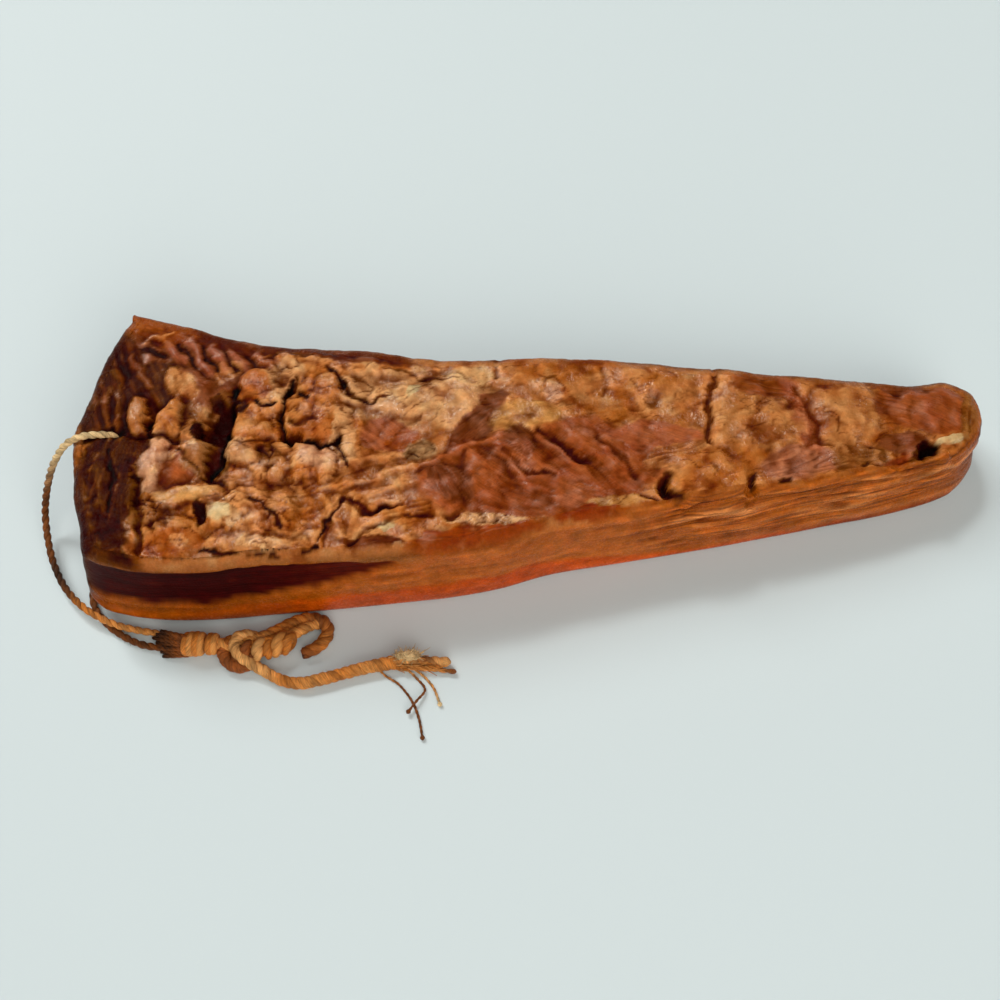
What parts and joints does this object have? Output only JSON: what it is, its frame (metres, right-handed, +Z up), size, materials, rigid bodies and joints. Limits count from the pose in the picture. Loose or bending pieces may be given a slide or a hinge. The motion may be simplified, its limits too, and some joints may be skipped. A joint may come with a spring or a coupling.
{
  "type": "smoked fatback slab",
  "caption": "Long tapering slab of smoked back fat with lean layers and rind, lying rind down, with a knotted hanging string through its thick end.",
  "frame": {"origin": "under the middle of the slab's box, on the surface that the rind rests on", "axes": "+X along the slab to its thin end, +Y across it to the back edge, +Z up out of the cut and trimmed face"},
  "size_m": [0.3836, 0.1687, 0.0476],
  "materials": {
    "smoked_meat": "moist, glossy, smoked brown",
    "twine": "matt, twisted natural fibre, smoke stained"
  },
  "bodies": {
    "root": {"slab": "smoked_meat", "string_loop": "twine", "string_knot_first": "twine", "string_knot_second": "twine", "string_tail": "twine", "string_frayed_end": "twine", "string_strand_long": "twine", "string_strand_mid": "twine", "string_strand_short": "twine"}
  },
  "joints": []
}
